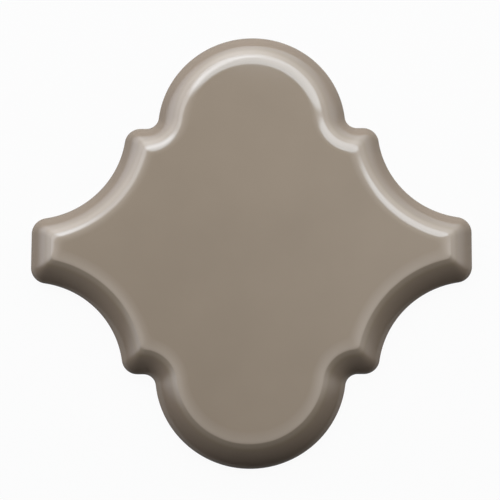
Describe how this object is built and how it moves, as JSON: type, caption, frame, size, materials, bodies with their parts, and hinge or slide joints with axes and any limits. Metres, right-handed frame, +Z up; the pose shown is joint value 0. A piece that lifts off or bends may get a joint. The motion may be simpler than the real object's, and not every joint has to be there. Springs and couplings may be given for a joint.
{
  "type": "moroccan arabesque tile",
  "caption": "Glazed ceramic wall tile with a lobed arabesque outline and a mitred bevel round a flat face, laid so that its lobes fill the hollows of its neighbours.",
  "frame": {"origin": "centre of the flat back, which lies on the floor", "axes": "+Z up through the glazed face, +Y to a lobe, +X to a blunt tip"},
  "size_m": [0.15, 0.15, 0.0093],
  "materials": {
    "glaze": "gloss"
  },
  "bodies": {
    "root": {"arabesque_tile": "glaze"}
  },
  "joints": []
}
